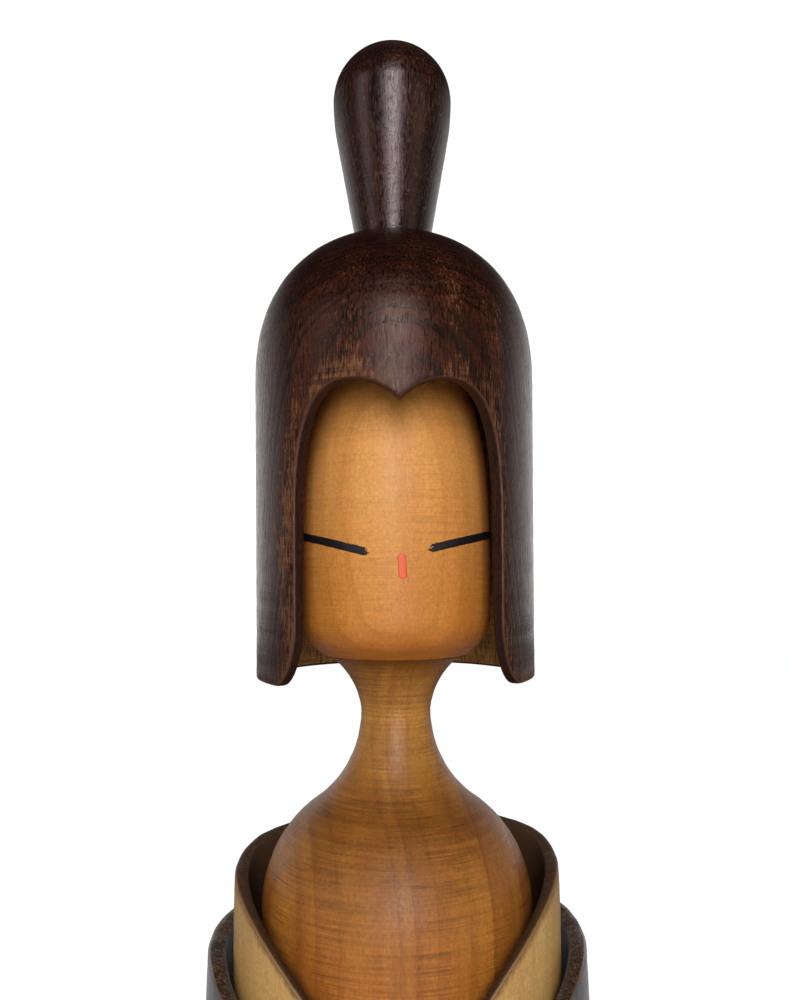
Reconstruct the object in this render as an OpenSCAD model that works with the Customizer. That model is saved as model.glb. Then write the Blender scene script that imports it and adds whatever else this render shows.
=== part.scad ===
// Turned wooden kokeshi doll: a face inside an open hair hood, a bust, and two
// nested V-neck garments. Millimetres, +Z up, the face looks along -Y.
// The origin is the centre of the flat base.

/* [Kimono body] */
// Radius of the foot
foot_r = 41; // [38:0.5:44]
// Largest radius of the barrel
barrel_r = 45.9; // [45:0.1:48]
// Height of the largest radius
barrel_z = 130; // [100:1:150]
// Height of the kimono's rim at the back and sides
kimono_top = 196.2; // [190:0.1:200]
// Inside radius of the kimono at the rim
kimono_bore_r = 40.6; // [40:0.1:41.5]
// Height of the kimono's V point
kimono_v_z = 156; // [152:1:160]
// Height that the kimono's V edge reaches at the rim's radius
kimono_v_side_z = 197.5; // [197:0.5:202]

/* [Inner collar] */
// Outside radius of the inner collar
collar_r = 38.9; // [38.5:0.1:39.5]
// Wall thickness of the inner collar
collar_wall = 3.4; // [3:0.1:4]
// Height of the inner collar at the back
collar_top = 214; // [210:0.5:216]
// Height of the inner collar's V point
collar_v_z = 170; // [168:1:175]
// Height that the inner collar's V edge reaches at the side
collar_v_side_z = 213; // [210:0.5:216]

/* [Bust and neck] */
// Height of the seam under the chin
seam_z = 261.4; // [258:0.1:263]
// Radius of the seam
seam_r = 17.6; // [14:0.1:19]
// Radius of the neck at its narrowest
neck_r = 8.5; // [8:0.1:9.5]
// Height of the narrowest part of the neck
neck_z = 248; // [246:1:250]
// Radius of the hollow curve from the neck to the shoulders
neck_cove_r = 26.5; // [24:0.5:27]
// Largest radius of the shoulders
shoulder_r = 32.4; // [31:0.1:33]
// Height of the shoulders' largest radius
shoulder_z = 202.5; // [200:0.5:206]

/* [Head] */
// Largest radius of the head
head_r = 23.6; // [22:0.1:25]
// Height of the head's largest radius
head_mid_z = 287; // [284:1:290]
// Height of the head's crown
head_top = 340; // [336:1:342]
// How far the head is turned on the neck at rest, in degrees
face_turn = 2; // [-10:0.5:10]
// Radius of the neck peg
peg_r = 4; // [3:0.1:4.5]

/* [Hair hood] */
// Outside radius of the hood's lower edge
hood_foot_r = 33.9; // [33:0.1:35]
// Outside radius where the dome starts
hood_r = 34.7; // [34:0.1:36]
// Height of the hood's lower edge
hood_z = 256.2; // [255:0.1:258]
// Height where the dome starts
dome_z = 328.5; // [326:0.5:336]
// Height of the dome above its start
dome_h = 37.8; // [34:0.1:40]
// Inside radius of the hood
hood_bore_r = 31; // [30.5:0.1:31.5]
// Half angle of the face opening, in degrees
opening_half = 42; // [38:0.5:46]
// Radius of the two lobes at the top of the opening
lobe_r = 12.1; // [11:0.1:12.5]
// Height of the lobes' centres
lobe_z = 311.6; // [308:0.1:314]

/* [Topknot] */
// Radius of the topknot where it meets the hood
knot_foot_r = 9.5; // [8:0.1:11]
// Largest radius of the topknot
knot_r = 15.2; // [14:0.1:17]
// Height of the topknot's largest radius
knot_mid_z = 402.7; // [398:0.1:406]
// Height of the round cap above the largest radius
knot_cap_h = 14.8; // [12:0.1:18]

/* [Painted face] */
// Thickness of the paint
paint_t = 0.25; // [0.2:0.05:0.5]
// Distance of an eye's inner end from the face's centre plane
eye_in_x = 6.8; // [5:0.1:9]
// Distance of an eye's outer end from the face's centre plane
eye_out_x = 22.4; // [18:0.1:22.5]
// Height of an eye's inner end
eye_in_z = 286.3; // [284:0.1:290]
// How far an eye rises from its inner end to its outer end
eye_rise = 3.8; // [0:0.1:6]
// Width of an eye's brush stroke
eye_w = 2; // [1.5:0.1:2.5]
// Width of the mouth's brush stroke
mouth_w = 1.9; // [1.5:0.1:2.5]
// Height of the mouth's brush stroke
mouth_h = 5.2; // [4:0.1:6]

/* [Hidden] */
$fn = 96;

far = 80;                       // reach of the cutting shapes past the wood
v_bow_r = 150;                  // radius of the slightly bowed V edges
glue_gap = 0.05;                // glue line between parts fixed together
running_gap = 0.05;             // radial clearance of the head on its peg
seam_gap = 0.1;                 // open seam between the chin and the neck
foot_chamfer = 1.2;

well_z = 140;                   // floor of the kimono's well
seat_h = 12;                    // height of the narrower seat that holds the collar
collar_in_r = collar_r - collar_wall;
barrel_bow_r = (pow(barrel_z, 2) + pow(barrel_r - foot_r, 2)) / (2 * (barrel_r - foot_r));

tenon_r = 15;                   // turned tenon under the bust
tenon_h = 22;
peg_z = 234;                    // lower end of the neck peg
peg_top = 282;
peg_end_gap = 2;

// the shoulder arc touches the neck's cove: its radius follows from both centres
cove_x = neck_r + neck_cove_r;
shoulder_gap = neck_z - shoulder_z;
shoulder_arc_r = (pow(cove_x - shoulder_r, 2) + pow(shoulder_gap, 2) - pow(neck_cove_r, 2))
               / (2 * (neck_cove_r - cove_x + shoulder_r));
shoulder_x = shoulder_r - shoulder_arc_r;
meet_angle = atan2(shoulder_gap, cove_x - shoulder_x);
neck_flare_power = 1.6;         // squareness of the flare from the neck up to the seam

forehead_power = 2.6;           // squareness of the head's outline above its widest ring
cheek_power = 3;                // squareness below it
head_low_h = 48;                // half height of the lower half's full outline
jaw_z = 266;                    // where the cheeks turn in to the chin
stub_r = 9;                     // flat stub on the crown that carries the hood
dome_power = 2.3;               // squareness of the hood's dome
dome_in_z = 322;                // start of the hood's inner dome
ceiling_z = 346;                // flat ceiling inside the hood
crown_z = 365.5;                // flat seat for the topknot
knot_tenon_r = 5;
knot_tenon_z = 326;             // lower end of the topknot's tenon
knot_flare = 10.9;              // slope of the topknot's lower side, in degrees
corner_r = 8;                   // round lower corners of the hood
lobe_x = hood_r * sin(opening_half) - lobe_r;

mouth_x = 0.7;                  // the mouth is painted a little off centre
mouth_z = 282.7;                // middle of the mouth
mouth_bar = mouth_h - mouth_w;  // straight part of the stroke between its round ends

function arc(x, z, r, a0, a1, n) =
    [for (i = [0:n]) let (a = a0 + (a1 - a0) * i / n) [x + r * cos(a), z + r * sin(a)]];

// quarter of a superellipse with half axes a and b, rising from the widest point
function swell(a, b, z, power, a0, a1, n) =
    [for (i = [0:n]) let (t = a0 + (a1 - a0) * i / n)
        [a * pow(cos(t), 2 / power), z + b * sign(t) * pow(abs(sin(t)), 2 / power)]];

function head_half_h(z) = z < head_mid_z ? head_low_h : head_top - head_mid_z;
function head_power(z) = z < head_mid_z ? cheek_power : forehead_power;
function head_radius(z) = head_r
    * pow(1 - pow(abs(z - head_mid_z) / head_half_h(z), head_power(z)), 1 / head_power(z));

// the head's outline from the seam to the crown, grown outwards by t
function head_outline(t) = concat(
    [[0, seam_z], [seam_r + t, seam_z]],
    [for (i = [0:28]) let (z = jaw_z + (head_top - 2 - jaw_z) * i / 28) [head_radius(z) + t, z]],
    [[0, head_top - 2]]);

module turned(points) rotate_extrude() polygon(points);

// everything in front of the axis and above a V edge that is bowed slightly upwards
module v_neck(point_z, side_r, side_z) {
    chord = norm([side_r, side_z - point_z]);
    reach = sqrt(pow(v_bow_r, 2) - pow(chord / 2, 2));
    cx = side_r / 2 + reach * (side_z - point_z) / chord;
    cz = (point_z + side_z) / 2 - reach * side_r / chord;
    rotate([90, 0, 0]) linear_extrude(far)
        difference() {
            translate([-far, cz]) square([2 * far, far * 2]);
            for (side = [-1, 1]) translate([side * cx, cz]) circle(v_bow_r, $fn = 180);
        }
}

module kimono_body() color([0.25, 0.19, 0.16])
    difference() {
        turned(concat(
            [[0, 0], [foot_r - foot_chamfer, 0], [foot_r, foot_chamfer]],
            [for (z = [10:10:kimono_top - 5])
                [barrel_r - barrel_bow_r + sqrt(pow(barrel_bow_r, 2) - pow(z - barrel_z, 2)), z]],
            [[barrel_r - barrel_bow_r + sqrt(pow(barrel_bow_r, 2)
                - pow(kimono_top - barrel_z, 2)), kimono_top], [0, kimono_top]]));
        translate([0, 0, well_z + seat_h]) cylinder(r = kimono_bore_r, h = far);
        translate([0, 0, well_z]) cylinder(r = collar_r + glue_gap, h = far);
        translate([0, 0, well_z - tenon_h]) cylinder(r = tenon_r + glue_gap, h = far);
        v_neck(kimono_v_z, barrel_r, kimono_v_side_z);
    }

module inner_collar() color([0.76, 0.6, 0.34])
    difference() {
        translate([0, 0, well_z]) cylinder(r = collar_r, h = collar_top - well_z);
        translate([0, 0, well_z - 1]) cylinder(r = collar_in_r, h = far * 2);
        v_neck(collar_v_z, collar_r, collar_v_side_z);
    }

module bust() color([0.62, 0.36, 0.17])
    difference() {
        union() {
            turned(concat(
                [[0, well_z], [shoulder_r, well_z]],
                arc(shoulder_x, shoulder_z, shoulder_arc_r, 0, meet_angle, 14),
                arc(cove_x, neck_z, neck_cove_r, 180 + meet_angle, 180, 14),
                [for (t = [15:15:90])
                    [neck_r + (seam_r - neck_r) * (1 - pow(cos(t), 2 / neck_flare_power)),
                     neck_z + (seam_z - seam_gap - neck_z) * pow(sin(t), 2 / neck_flare_power)]],
                [[0, seam_z - seam_gap]]));
            translate([0, 0, well_z - tenon_h + 1]) cylinder(r = tenon_r, h = tenon_h);
        }
        translate([0, 0, peg_z]) cylinder(r = peg_r, h = far);
    }

module neck_peg() color([0.8, 0.66, 0.42])
    translate([0, 0, peg_z]) cylinder(r = peg_r, h = peg_top - peg_z);

// parts that turn with the head
module on_head() rotate([0, 0, face_turn]) children();

module head() color([0.72, 0.5, 0.27])
    difference() {
        union() {
            turned(head_outline(0));
            translate([0, 0, head_mid_z]) cylinder(r = stub_r, h = ceiling_z - head_mid_z);
        }
        translate([0, 0, seam_z - 1])
            cylinder(r = peg_r + running_gap, h = peg_top + peg_end_gap - seam_z + 1);
        translate([0, 0, knot_tenon_z - 1]) cylinder(r = knot_tenon_r + glue_gap, h = far);
    }

// space swept through the wall between two angles from the front, between two heights
module sector(a0, a1, z0, z1)
    translate([0, 0, z0]) linear_extrude(z1 - z0)
        polygon([[0, 0], [far * sin(a0), -far * cos(a0)], [0, -far], [far * sin(a1), -far * cos(a1)]]);

module face_opening() {
    corner_a = opening_half + corner_r / hood_foot_r * 180 / PI;
    sector(-opening_half, opening_half, hood_z - 1, lobe_z);
    intersection() {
        sector(-opening_half, opening_half, lobe_z - 0.01, dome_z);
        rotate([90, 0, 0]) for (side = [-1, 1])
            translate([side * lobe_x, lobe_z, 0]) cylinder(r = lobe_r, h = far);
    }
    for (side = [-1, 1]) difference() {
        sector(side < 0 ? -corner_a : 0, side < 0 ? 0 : corner_a, hood_z - 1, hood_z + corner_r);
        rotate([0, 0, side * corner_a]) translate([0, 0, hood_z + corner_r]) rotate([90, 0, 0])
            cylinder(r = corner_r, h = far);
    }
}

module hair_hood() color([0.22, 0.14, 0.11]) on_head()
    difference() {
        intersection() {
            turned(concat(
                [[0, hood_z], [hood_foot_r, hood_z]],
                swell(hood_r, dome_h, dome_z, dome_power, 0, 90, 28)));
            cylinder(r = far, h = crown_z);
        }
        turned(concat(
            [[0, hood_z - 1], [hood_bore_r, hood_z - 1]],
            swell(hood_bore_r, ceiling_z - dome_in_z, dome_in_z, dome_power, 0, 90, 20)));
        translate([0, 0, dome_in_z]) cylinder(r = stub_r + glue_gap, h = ceiling_z - dome_in_z);
        cylinder(r = knot_tenon_r + glue_gap, h = dome_z + dome_h);
        face_opening();
    }

module topknot() color([0.2, 0.13, 0.11]) on_head() {
    flare_r = (knot_mid_z - crown_z - (knot_r - knot_foot_r) / tan(knot_flare))
            / (sin(knot_flare) - (1 - cos(knot_flare)) / tan(knot_flare));
    turned(concat(
        [[0, crown_z], [knot_foot_r, crown_z]],
        arc(knot_r - flare_r, knot_mid_z, flare_r, -knot_flare, 0, 8),
        [for (t = [6:6:90]) [knot_r * cos(t), knot_mid_z + knot_cap_h * sin(t)]]));
    translate([0, 0, knot_tenon_z]) cylinder(r = knot_tenon_r, h = crown_z - knot_tenon_z + 1);
}

// a film of paint on the front of the head, as wide as its flat outline
module paint_film()
    intersection() {
        difference() {
            turned(head_outline(paint_t));
            turned(head_outline(0));
        }
        rotate([90, 0, 0]) linear_extrude(far) children();
    }

// a straight brush stroke with round ends, between two points seen from the front
module stroke(p, q, w) {
    span = q - p;
    translate(p) rotate(atan2(span[1], span[0])) {
        translate([0, -w / 2]) square([norm(span), w]);
        for (x = [0, norm(span)]) translate([x, 0]) circle(w / 2, $fn = 32);
    }
}

module eye(side) color([0.05, 0.04, 0.04]) on_head()
    paint_film() stroke([side * eye_in_x, eye_in_z], [side * eye_out_x, eye_in_z + eye_rise], eye_w);

module left_eye() eye(1);

module right_eye() eye(-1);

module mouth() color([0.72, 0.16, 0.08]) on_head()
    paint_film() stroke([mouth_x, mouth_z - mouth_bar / 2], [mouth_x, mouth_z + mouth_bar / 2], mouth_w);

kimono_body();
inner_collar();
bust();
neck_peg();
head();
hair_hood();
topknot();
left_eye();
right_eye();
mouth();
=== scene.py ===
import math
import bpy
import numpy as np
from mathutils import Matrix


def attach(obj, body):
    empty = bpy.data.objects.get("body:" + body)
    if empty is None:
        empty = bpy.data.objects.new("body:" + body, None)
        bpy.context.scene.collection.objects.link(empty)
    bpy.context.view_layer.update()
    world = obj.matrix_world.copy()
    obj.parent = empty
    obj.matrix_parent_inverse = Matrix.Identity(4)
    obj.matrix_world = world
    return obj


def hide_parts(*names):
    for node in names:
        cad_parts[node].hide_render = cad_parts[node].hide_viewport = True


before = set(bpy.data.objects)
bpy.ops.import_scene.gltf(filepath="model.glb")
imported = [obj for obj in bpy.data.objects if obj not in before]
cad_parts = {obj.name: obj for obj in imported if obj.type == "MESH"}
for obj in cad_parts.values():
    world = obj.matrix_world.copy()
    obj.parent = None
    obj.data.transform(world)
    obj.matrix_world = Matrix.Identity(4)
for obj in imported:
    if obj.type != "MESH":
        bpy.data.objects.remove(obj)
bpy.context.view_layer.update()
print("frame loaded")

mm = 0.001                                 # the shapes are worked out in millimetres
headTurn = math.radians(2.0)               # the head's rest angle on its peg
gougeSize = 0.04                           # height of the gouge's waves on the shells, in millimetres


# An outline with extra points on its straight runs, no further apart than step.
def subdivide(points, step):
    points = np.asarray(points, float)
    runs = [points[:1]]
    for start, end in zip(points[:-1], points[1:]):
        count = max(1, int(np.ceil(np.linalg.norm(end - start) / step)))
        share = np.arange(1, count + 1)[:, None] / count
        runs.append(start + (end - start) * share)
    return np.concatenate(runs)


# An outline whose corner i becomes a quadratic curve that starts radii[i] before it.
def softCorners(points, radii, count=5):
    points = np.asarray(points, float)
    runs = [points[:1]]
    share = np.linspace(0, 1, count)[:, None]
    for before, corner, after, radius in zip(points[:-2], points[1:-1], points[2:], radii[1:-1]):
        if radius == 0:
            runs.append(corner[None])
            continue
        a = corner + (before - corner) / np.linalg.norm(before - corner) * radius
        b = corner + (after - corner) / np.linalg.norm(after - corner) * radius
        runs.append((1 - share) ** 2 * a + 2 * share * (1 - share) * corner + share ** 2 * b)
    return np.concatenate(runs + [points[-1:]])


# Points at a radius and a height, turned by angle from the front towards the viewer's right.
def around(radius, angle, height):
    return np.stack([radius * np.sin(angle), -radius * np.cos(angle), height + 0 * angle], -1)


# The faces of a grid of rows by columns; closed joins the last column to the first.
def quadsOf(rows, columns, closed=False):
    i, j = np.meshgrid(np.arange(rows - 1), np.arange(columns if closed else columns - 1), indexing="ij")
    k = (j + 1) % columns
    return np.stack([i * columns + j, i * columns + k, (i + 1) * columns + k, (i + 1) * columns + j],
                    -1).reshape(-1, 4)


# Joins points that lie in one place, and drops the faces that this closes up.
def weld(points, faces, marks):
    keys = np.round(points * 2000).astype(np.int64)
    _, first, index = np.unique(keys, axis=0, return_index=True, return_inverse=True)
    index = index.reshape(-1)
    faces = index[faces]
    double = [faces[:, k] == faces[:, (k + 1) % 4] for k in range(4)]
    quads = faces[~np.any(double, axis=0)]
    tris = []
    for k in range(4):                      # one pair of corners in one place leaves a triangle
        only = double[k] & (np.sum(double, axis=0) == 1)
        tris.append(np.delete(faces[only], k, axis=1))
    return points[first], quads, np.concatenate(tris), {name: m[first] for name, m in marks.items()}


# A mesh in millimetres made into a piece that rides on a body. marks are values at its points.
def makePiece(name, points, faces, marks, body, nodes, material):
    points, quads, tris, marks = weld(points, faces, marks)
    a, b, c, d = (points[quads[:, k]] for k in range(4))
    volume = np.sum(a * np.cross(b, c)) + np.sum(a * np.cross(c, d))
    a, b, c = (points[tris[:, k]] for k in range(3))
    volume += np.sum(a * np.cross(b, c))
    if volume < 0:                          # faces point outwards
        quads = quads[:, ::-1]
        tris = tris[:, ::-1]
    mesh = bpy.data.meshes.new(name)
    mesh.vertices.add(len(points))
    mesh.vertices.foreach_set("co", (points * mm).astype(np.float32).ravel())
    corners = np.concatenate([quads.ravel(), tris.ravel()]).astype(np.int32)
    starts = np.concatenate([np.arange(len(quads)) * 4, len(quads) * 4 + np.arange(len(tris)) * 3])
    mesh.loops.add(len(corners))
    mesh.loops.foreach_set("vertex_index", corners)
    mesh.polygons.add(len(starts))
    mesh.polygons.foreach_set("loop_start", starts.astype(np.int32))
    mesh.update(calc_edges=True)
    mesh.validate()
    mesh.shade_smooth()
    for markName, values in marks.items():
        layer = mesh.attributes.new(markName, "FLOAT", "POINT")
        layer.data.foreach_set("value", values.astype(np.float32))
    mesh.materials.append(material)
    piece = bpy.data.objects.new(name, mesh)
    bpy.context.scene.collection.objects.link(piece)
    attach(piece, body)
    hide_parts(*nodes)
    print(f"{name}: {len(quads) * 2 + len(tris)} triangles")
    return piece


# A closed outline of radius and height, turned about the axis. waves is (first height, size) of the
# slight waves that the gouge leaves on the outside, above that height.
def turnedPiece(name, outline, columns, waves, body, nodes, material):
    outline = np.asarray(outline, float)
    angles = np.linspace(0, 2 * np.pi, columns, endpoint=False)
    radius, height = outline[:, 0:1], outline[:, 1:2]
    outside = np.clip((radius - 6.5) / 1.5, 0, 1) * np.clip((height - waves[0]) / 2, 0, 1)
    radius = radius + waves[1] * outside * gougeWaves(height)
    points = around(radius, angles[None, :], height)
    endGrain = np.repeat(slopeOf(outline), columns)
    makePiece(name, points.reshape(-1, 3), quadsOf(len(outline), columns, True),
              {"endGrain": endGrain}, body, nodes, material)


# How far the wall leans out of the upright at each point of an outline, 0 to 1: the grain runs
# upright, so a leaning wall shows the ends of the fibres.
def slopeOf(outline):
    way = np.gradient(outline, axis=0)
    lean = np.abs(way[:, 0]) / np.maximum(1e-6, np.linalg.norm(way, axis=1))
    return np.convolve(np.pad(lean, 3, mode="edge"), np.ones(7) / 7, mode="valid")


# Slow waves along the axis: three sines whose lengths don't divide each other.
def gougeWaves(height):
    return np.sin(height * 0.91) * 0.5 + np.sin(height * 1.73 + 1) * 0.3 + np.sin(height * 2.9 + 2) * 0.2


# Part of a superellipse with those half axes, from angle a0 to a1, widest at height start.
def swell(across, rise, start, power, a0, a1, count):
    t = np.radians(np.linspace(a0, a1, count))
    return np.stack([across * np.cos(t) ** (2 / power),
                     start + rise * np.sign(t) * np.abs(np.sin(t)) ** (2 / power)], -1)


# Part of a circle round (x, z), from angle a0 to a1 in degrees.
def arc(x, z, radius, a0, a1, count):
    t = np.radians(np.linspace(a0, a1, count))
    return np.stack([x + radius * np.cos(t), z + radius * np.sin(t)], -1)


# A shader node with its settings and inputs; an input is a value or another node's output.
def addNode(tree, kind, inputs=(), **settings):
    node = tree.nodes.new(kind)
    for key, value in settings.items():
        setattr(node, key, value)
    for key, value in dict(inputs).items():
        if isinstance(value, bpy.types.NodeSocket):
            tree.links.new(value, node.inputs[key])
        else:
            node.inputs[key].default_value = value
    return node


# Two values, or a value and a number, put through one arithmetic node.
def math2(tree, operation, a, b=0.0, clamp=False):
    return addNode(tree, "ShaderNodeMath", {0: a, 1: b}, operation=operation, use_clamp=clamp).outputs[0]


# The product of two values.
def times(tree, a, b):
    return math2(tree, "MULTIPLY", a, b)


# value from low..high to toLow..toHigh, held at both ends.
def fit(tree, value, low, high, toLow=0.0, toHigh=1.0, kind="SMOOTHSTEP"):
    return addNode(tree, "ShaderNodeMapRange", {"Value": value, "From Min": low, "From Max": high,
                   "To Min": toLow, "To Max": toHigh}, interpolation_type=kind).outputs[0]


# Two colours mixed by a factor; each of the three is a plain value or another node's output.
def mixColour(tree, factor, a, b, blend="MIX"):
    a, b = ((*colour, 1) if isinstance(colour, tuple) else colour for colour in (a, b))
    return addNode(tree, "ShaderNodeMix", {0: factor, 6: a, 7: b}, data_type="RGBA", blend_type=blend,
                   clamp_factor=True).outputs[2]


# The values that a mesh carries at its points under this name.
def markOf(tree, name):
    return addNode(tree, "ShaderNodeAttribute", attribute_name=name).outputs["Fac"]


# A soft random shading, about 0.5 on average.
def noise(tree, vector, scale, detail=2.0, roughness=0.5):
    return addNode(tree, "ShaderNodeTexNoise", {"Vector": vector, "Scale": scale, "Detail": detail,
                   "Roughness": roughness}).outputs[0]


# A place scaled by axis and shifted, so that a pattern comes out longer one way.
def stretch(tree, vector, x, y, z, shift=(0, 0, 0)):
    return addNode(tree, "ShaderNodeMapping", {"Vector": vector, "Scale": (x, y, z),
                   "Location": shift}).outputs[0]


# Object coordinates in millimetres.
def objectMm(tree):
    spot = addNode(tree, "ShaderNodeTexCoord").outputs["Object"]
    return addNode(tree, "ShaderNodeVectorMath", {0: spot, "Scale": 1000.0}, operation="SCALE").outputs[0]


# A shader node group with float inputs {name: value} and float outputs.
def makeGroup(name, inputs, outputs):
    group = bpy.data.node_groups.new(name, "ShaderNodeTree")
    for key, value in inputs.items():
        socket = group.interface.new_socket(key, in_out="INPUT", socket_type="NodeSocketFloat")
        socket.default_value = value
    for key in outputs:
        group.interface.new_socket(key, in_out="OUTPUT", socket_type="NodeSocketFloat")
    return group, group.nodes.new("NodeGroupInput").outputs, group.nodes.new("NodeGroupOutput").inputs


# A group placed in a material with its own values; gives its outputs.
def place(tree, group, values):
    node = tree.nodes.new("ShaderNodeGroup")
    node.node_tree = group
    for key, value in values.items():
        node.inputs[key].default_value = value
    return node.outputs


# Growth rings as cylinders round a pith that stands beside or behind the piece. Late is the dark line
# at each ring's end, Tone a shade that differs from ring to ring.
def makeRings():
    tree, given, gives = makeGroup("growthRings", {"Pith X": 0.0, "Pith Y": 30.0, "Lean X": 0.0,
                                   "Lean Y": 0.0, "Ring Gap": 3.0, "Wobble": 1.0}, ["Late", "Tone"])
    where = objectMm(tree)
    axis = addNode(tree, "ShaderNodeSeparateXYZ", {0: where}).outputs
    across = math2(tree, "SUBTRACT", math2(tree, "SUBTRACT", axis[0], given["Pith X"]),
                   times(tree, axis[2], given["Lean X"]))
    along = math2(tree, "SUBTRACT", math2(tree, "SUBTRACT", axis[1], given["Pith Y"]),
                  times(tree, axis[2], given["Lean Y"]))
    radius = math2(tree, "SQRT", math2(tree, "ADD", times(tree, across, across),
                   times(tree, along, along)))
    sway = noise(tree, stretch(tree, where, 0.05, 0.05, 0.012), 1.0, 3.0)
    sway = times(tree, math2(tree, "SUBTRACT", sway, 0.5), given["Wobble"])
    count = math2(tree, "DIVIDE", math2(tree, "ADD", radius, times(tree, sway, 4.0)),
                  given["Ring Gap"])
    uneven = addNode(tree, "ShaderNodeTexNoise", {"W": count, "Scale": 0.6, "Detail": 1.0},
                     noise_dimensions="1D").outputs[0]
    count = math2(tree, "ADD", count, times(tree, uneven, 1.6))
    part = math2(tree, "FRACT", count)
    late = times(tree, fit(tree, part, 0.45, 0.93), fit(tree, part, 0.95, 1.0, 1.0, 0.0))
    ring = math2(tree, "FLOOR", count)
    tone = addNode(tree, "ShaderNodeTexWhiteNoise", {"W": ring}, noise_dimensions="1D").outputs[0]
    tree.links.new(late, gives["Late"])
    tree.links.new(tone, gives["Tone"])
    return tree


# Wood fibres that run up the piece. Streak is fine and Band broad shading along the fibres, Pore is 1
# in the short open pores, and Fleck is a small blotchy shading.
def makeFibres():
    tree, given, gives = makeGroup("woodFibres", {"Fineness": 1.0, "Pore Amount": 0.5},
                                   ["Streak", "Band", "Pore", "Fleck"])
    where = objectMm(tree)
    fine = addNode(tree, "ShaderNodeVectorMath", {0: stretch(tree, where, 1, 1, 0.10)},
                   operation="SCALE")
    tree.links.new(given["Fineness"], fine.inputs["Scale"])
    streak = noise(tree, fine.outputs[0], 2.6, 5.0, 0.7)
    band = noise(tree, stretch(tree, where, 0.16, 0.16, 0.012, (3, 5, 1)), 1.0, 3.0, 0.55)
    pores = noise(tree, stretch(tree, fine.outputs[0], 2.8, 2.8, 2.4, (7, 2, 4)), 1.0, 2.0, 0.6)
    edge = math2(tree, "SUBTRACT", 0.74, times(tree, given["Pore Amount"], 0.2))
    pore = fit(tree, math2(tree, "SUBTRACT", pores, edge), 0.0, 0.07)
    fleck = noise(tree, stretch(tree, where, 1.5, 1.5, 1.1, (2, 8, 5)), 1.0, 5.0, 0.75)
    for key, value in (("Streak", streak), ("Band", band), ("Pore", pore), ("Fleck", fleck)):
        tree.links.new(value, gives[key])
    return tree


# Lines that the lathe leaves: rings round the axis. Line is a fine shading, Score is 1 in a few
# deeper, broken scores.
def makeLathe():
    tree, given, gives = makeGroup("latheLines", {"Pitch": 0.5}, ["Line", "Score"])
    where = objectMm(tree)
    flat = stretch(tree, where, 0.02, 0.02, 1.0)
    fine = addNode(tree, "ShaderNodeVectorMath", {0: flat}, operation="SCALE")
    tree.links.new(math2(tree, "DIVIDE", 1.0, given["Pitch"]), fine.inputs["Scale"])
    line = noise(tree, fine.outputs[0], 0.8, 4.0, 0.7)
    broad = noise(tree, stretch(tree, where, 0.11, 0.11, 0.05, (6, 1, 2)), 1.0, 3.0)
    patch = fit(tree, broad, 0.35, 0.65, 0.3, 1.5)          # the lines come and go over the piece
    line = math2(tree, "ADD", 0.5, times(tree, math2(tree, "SUBTRACT", line, 0.5), patch))
    few = noise(tree, stretch(tree, where, 0.012, 0.012, 0.9, (1, 2, 3)), 1.0, 4.0, 0.75)
    broken = noise(tree, stretch(tree, where, 0.09, 0.09, 0.25), 1.0, 2.0)
    score = times(tree, fit(tree, few, 0.6, 0.68), fit(tree, broken, 0.42, 0.6))
    tree.links.new(line, gives["Line"])
    tree.links.new(score, gives["Score"])
    return tree


# Wear near a cut edge and in streaks along the fibres. Edge is 1 on a worn edge, Spots in the rubbed
# streaks. It reads the piece's own distance from its cut edge.
def makeWear():
    tree, given, gives = makeGroup("handWear", {"Reach": 1.0, "Spot Amount": 0.5}, ["Edge", "Spots"])
    where = objectMm(tree)
    rim = markOf(tree, "rim")
    ragged = noise(tree, stretch(tree, where, 1.0, 1.0, 0.45), 1.1, 4.0, 0.7)
    near = math2(tree, "DIVIDE", rim, given["Reach"])
    edge = fit(tree, math2(tree, "SUBTRACT", ragged, near), -0.35, 0.4)
    streaks = noise(tree, stretch(tree, where, 2.0, 2.0, 0.30, (4, 4, 4)), 1.0, 6.0, 0.75)
    broad = noise(tree, stretch(tree, where, 0.07, 0.07, 0.03, (1, 9, 2)), 1.0, 2.0)
    value = math2(tree, "ADD", times(tree, streaks, 0.75), times(tree, broad, 0.4))
    value = math2(tree, "ADD", value, fit(tree, rim, 0.0, 10.0, 0.12, 0.0))
    level = math2(tree, "SUBTRACT", 0.8, times(tree, given["Spot Amount"], 0.3))
    spots = fit(tree, math2(tree, "SUBTRACT", value, level), 0.0, 0.12)
    tree.links.new(edge, gives["Edge"])
    tree.links.new(spots, gives["Spots"])
    return tree


rings = makeRings()
fibres = makeFibres()
lathe = makeLathe()
wear = makeWear()
print("shader groups built")


# A material with one Principled shader; values go on its own sockets.
def newMaterial(name, **values):
    material = bpy.data.materials.new(name)
    material.use_nodes = True
    tree = material.node_tree
    shader = next(n for n in tree.nodes if n.type == "BSDF_PRINCIPLED")
    for key, value in values.items():
        shader.inputs[key].default_value = value
    return material, tree, shader


# A height in millimetres that tilts the shading of a surface.
def addBump(tree, shader, height, distance):
    bump = addNode(tree, "ShaderNodeBump", {"Height": height, "Distance": distance * mm, "Strength": 1.0})
    tree.links.new(bump.outputs[0], shader.inputs["Normal"])


# A factor round 1 from a shading: 1 less amount where it is low, 1 plus amount where it is high.
def spread(tree, value, amount):
    return fit(tree, value, 0.35, 0.65, 1 - amount, 1 + amount, "LINEAR")


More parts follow.
